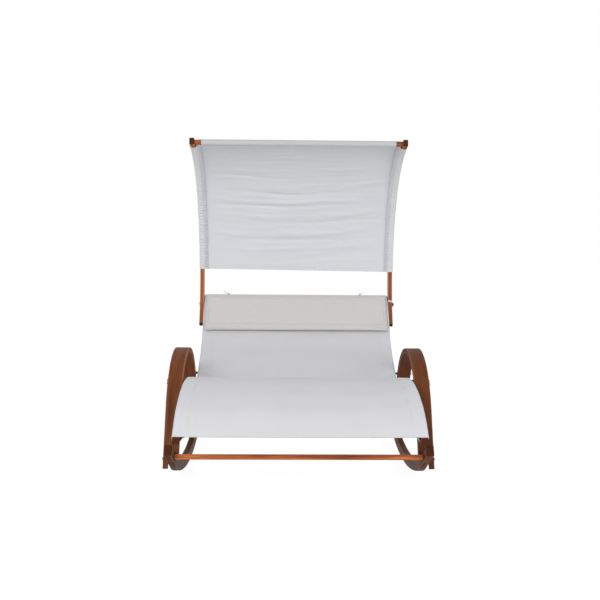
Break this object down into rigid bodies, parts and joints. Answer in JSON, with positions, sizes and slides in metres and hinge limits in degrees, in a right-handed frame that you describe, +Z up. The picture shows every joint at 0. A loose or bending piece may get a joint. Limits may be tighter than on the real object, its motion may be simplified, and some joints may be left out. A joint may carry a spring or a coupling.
{
  "type": "rocking chaise lounge",
  "caption": "Double-width rocking chaise lounge with bentwood rockers and arm hoops, a stretched mesh sling seat, a head pillow and a curved tilting sun canopy.",
  "frame": {"origin": "on the floor under the middle of the chair's overall width and overall length", "axes": "+X towards the chair's right side as seen from the foot end, +Y from the foot end towards the head end, +Z up from the floor"},
  "size_m": [1.307, 1.5648, 1.7592],
  "materials": {
    "wood": "satin",
    "sling_mesh": "matte",
    "pillow_cloth": "matte",
    "canopy_cloth": "matte",
    "strap_webbing": "matte",
    "dark_steel": "satin",
    "black_plastic": "matte"
  },
  "bodies": {
    "frame": {"left_rocker": "wood", "right_rocker": "wood", "left_arm_hoop": "wood", "right_arm_hoop": "wood", "front_crossbar": "wood", "rear_crossbar": "wood", "left_seat_rail": "wood", "right_seat_rail": "wood", "head_crossbar": "wood", "seat_stretcher": "wood", "knee_crossbar": "wood", "seat_sling": "sling_mesh", "headrest_pillow": "pillow_cloth", "pillow_flap": "pillow_cloth", "pillow_ties": "pillow_cloth", "front_hoop_bolts": "dark_steel", "rear_hoop_bolts": "dark_steel", "hoop_spacers": "dark_steel", "hoop_nuts": "dark_steel", "fork_bolts": "dark_steel", "fork_nuts": "dark_steel", "crossbar_screws": "dark_steel", "head_screws": "dark_steel", "rail_screws": "dark_steel", "left_pivot_bolt": "dark_steel", "right_pivot_bolt": "dark_steel", "pivot_spacers": "dark_steel"},
    "roof": {"left_roof_arm": "wood", "right_roof_arm": "wood", "roof_bar": "wood", "roof_cloth": "canopy_cloth", "roof_screws": "dark_steel", "arm_strap": "strap_webbing"},
    "knob": {"clamp_knob": "black_plastic"}
  },
  "joints": [
    {"name": "roof_tilt", "type": "hinge", "parent": "frame", "child": "roof", "pos_m": [0, 0.73538, 0.82777], "axis": [1, 0, 0], "range_deg": [-20, 35]},
    {"name": "knob_turn", "type": "hinge", "parent": "frame", "child": "knob", "pos_m": [0.594, 0.73538, 0.82777], "axis": [1, 0, 0], "range_deg": [-180, 180]}
  ]
}
